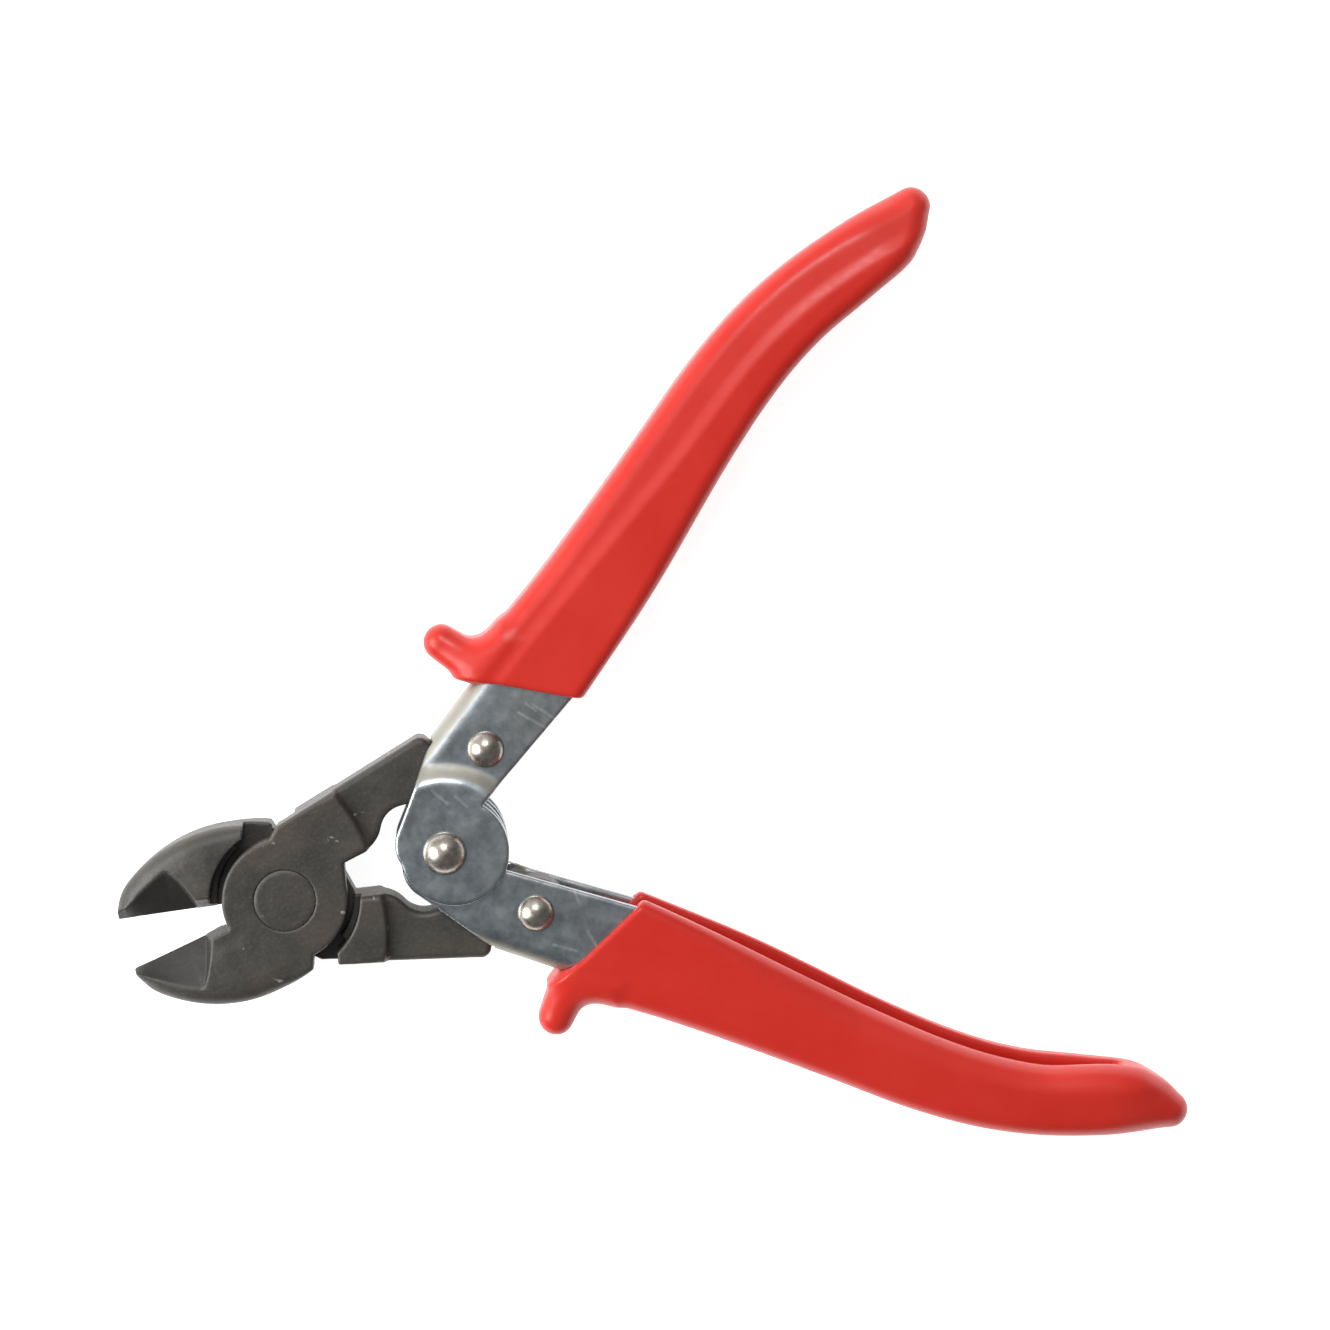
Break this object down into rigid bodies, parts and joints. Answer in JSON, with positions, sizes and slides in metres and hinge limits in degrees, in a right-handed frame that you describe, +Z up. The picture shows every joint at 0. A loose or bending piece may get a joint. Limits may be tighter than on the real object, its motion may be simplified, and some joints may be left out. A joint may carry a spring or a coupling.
{
  "type": "diagonal cutting pliers",
  "caption": "Compound-action diagonal cutters: two forged jaws on a flush rivet, driven by pressed steel channel handles with moulded grips and finger guards.",
  "frame": {"origin": "bottom centre of the tool's box, with the tool lying flat and its handles open", "axes": "+X from the jaws towards the handles' ends along the tool's centre line, +Y towards the upper handle, +Z up through the pivots"},
  "size_m": [0.1764, 0.1796, 0.0214],
  "materials": {
    "forging": "phosphated and oiled drop-forged steel, satin, with ground bevels",
    "jaw_rivet": "flush riveted and phosphated with the jaws",
    "plated_sheet": "bright zinc plated pressed sheet with fine handling scratches",
    "rivets": "bright plated domed rivet",
    "spacer": "turned steel tube",
    "grip": "dip-moulded soft PVC with a satin gloss"
  },
  "bodies": {
    "lower_handle": {"lower_handle": "plated_sheet", "lower_grip": "grip", "lower_link_rivet": "rivets", "handle_pivot_rivet": "rivets", "pivot_spacer": "spacer"},
    "upper_handle": {"upper_handle": "plated_sheet", "upper_grip": "grip", "upper_link_rivet": "rivets"},
    "upper_jaw": {"upper_jaw": "forging", "jaw_pivot_rivet": "jaw_rivet"},
    "lower_jaw": {"lower_jaw": "forging"}
  },
  "joints": [
    {"name": "handle_pivot", "type": "hinge", "parent": "lower_handle", "child": "upper_handle", "pos_m": [-0.02852, 0, 0.0107], "axis": [0, 0, -1], "range_deg": [0, 49.7]},
    {"name": "lower_link_pivot", "type": "hinge", "parent": "lower_handle", "child": "upper_jaw", "pos_m": [-0.01614, -0.01552, 0.0107], "axis": [0, 0, -1], "range_deg": [0, 16.1]},
    {"name": "jaw_pivot", "type": "hinge", "parent": "upper_jaw", "child": "lower_jaw", "pos_m": [-0.05838, 0, 0.0107], "axis": [0, 0, -1], "range_deg": [0, 17.6]}
  ],
  "couplings": [
    {"joint": "lower_link_pivot", "follows": "handle_pivot", "ratio": 0.3231},
    {"joint": "jaw_pivot", "follows": "handle_pivot", "ratio": 0.3539}
  ]
}
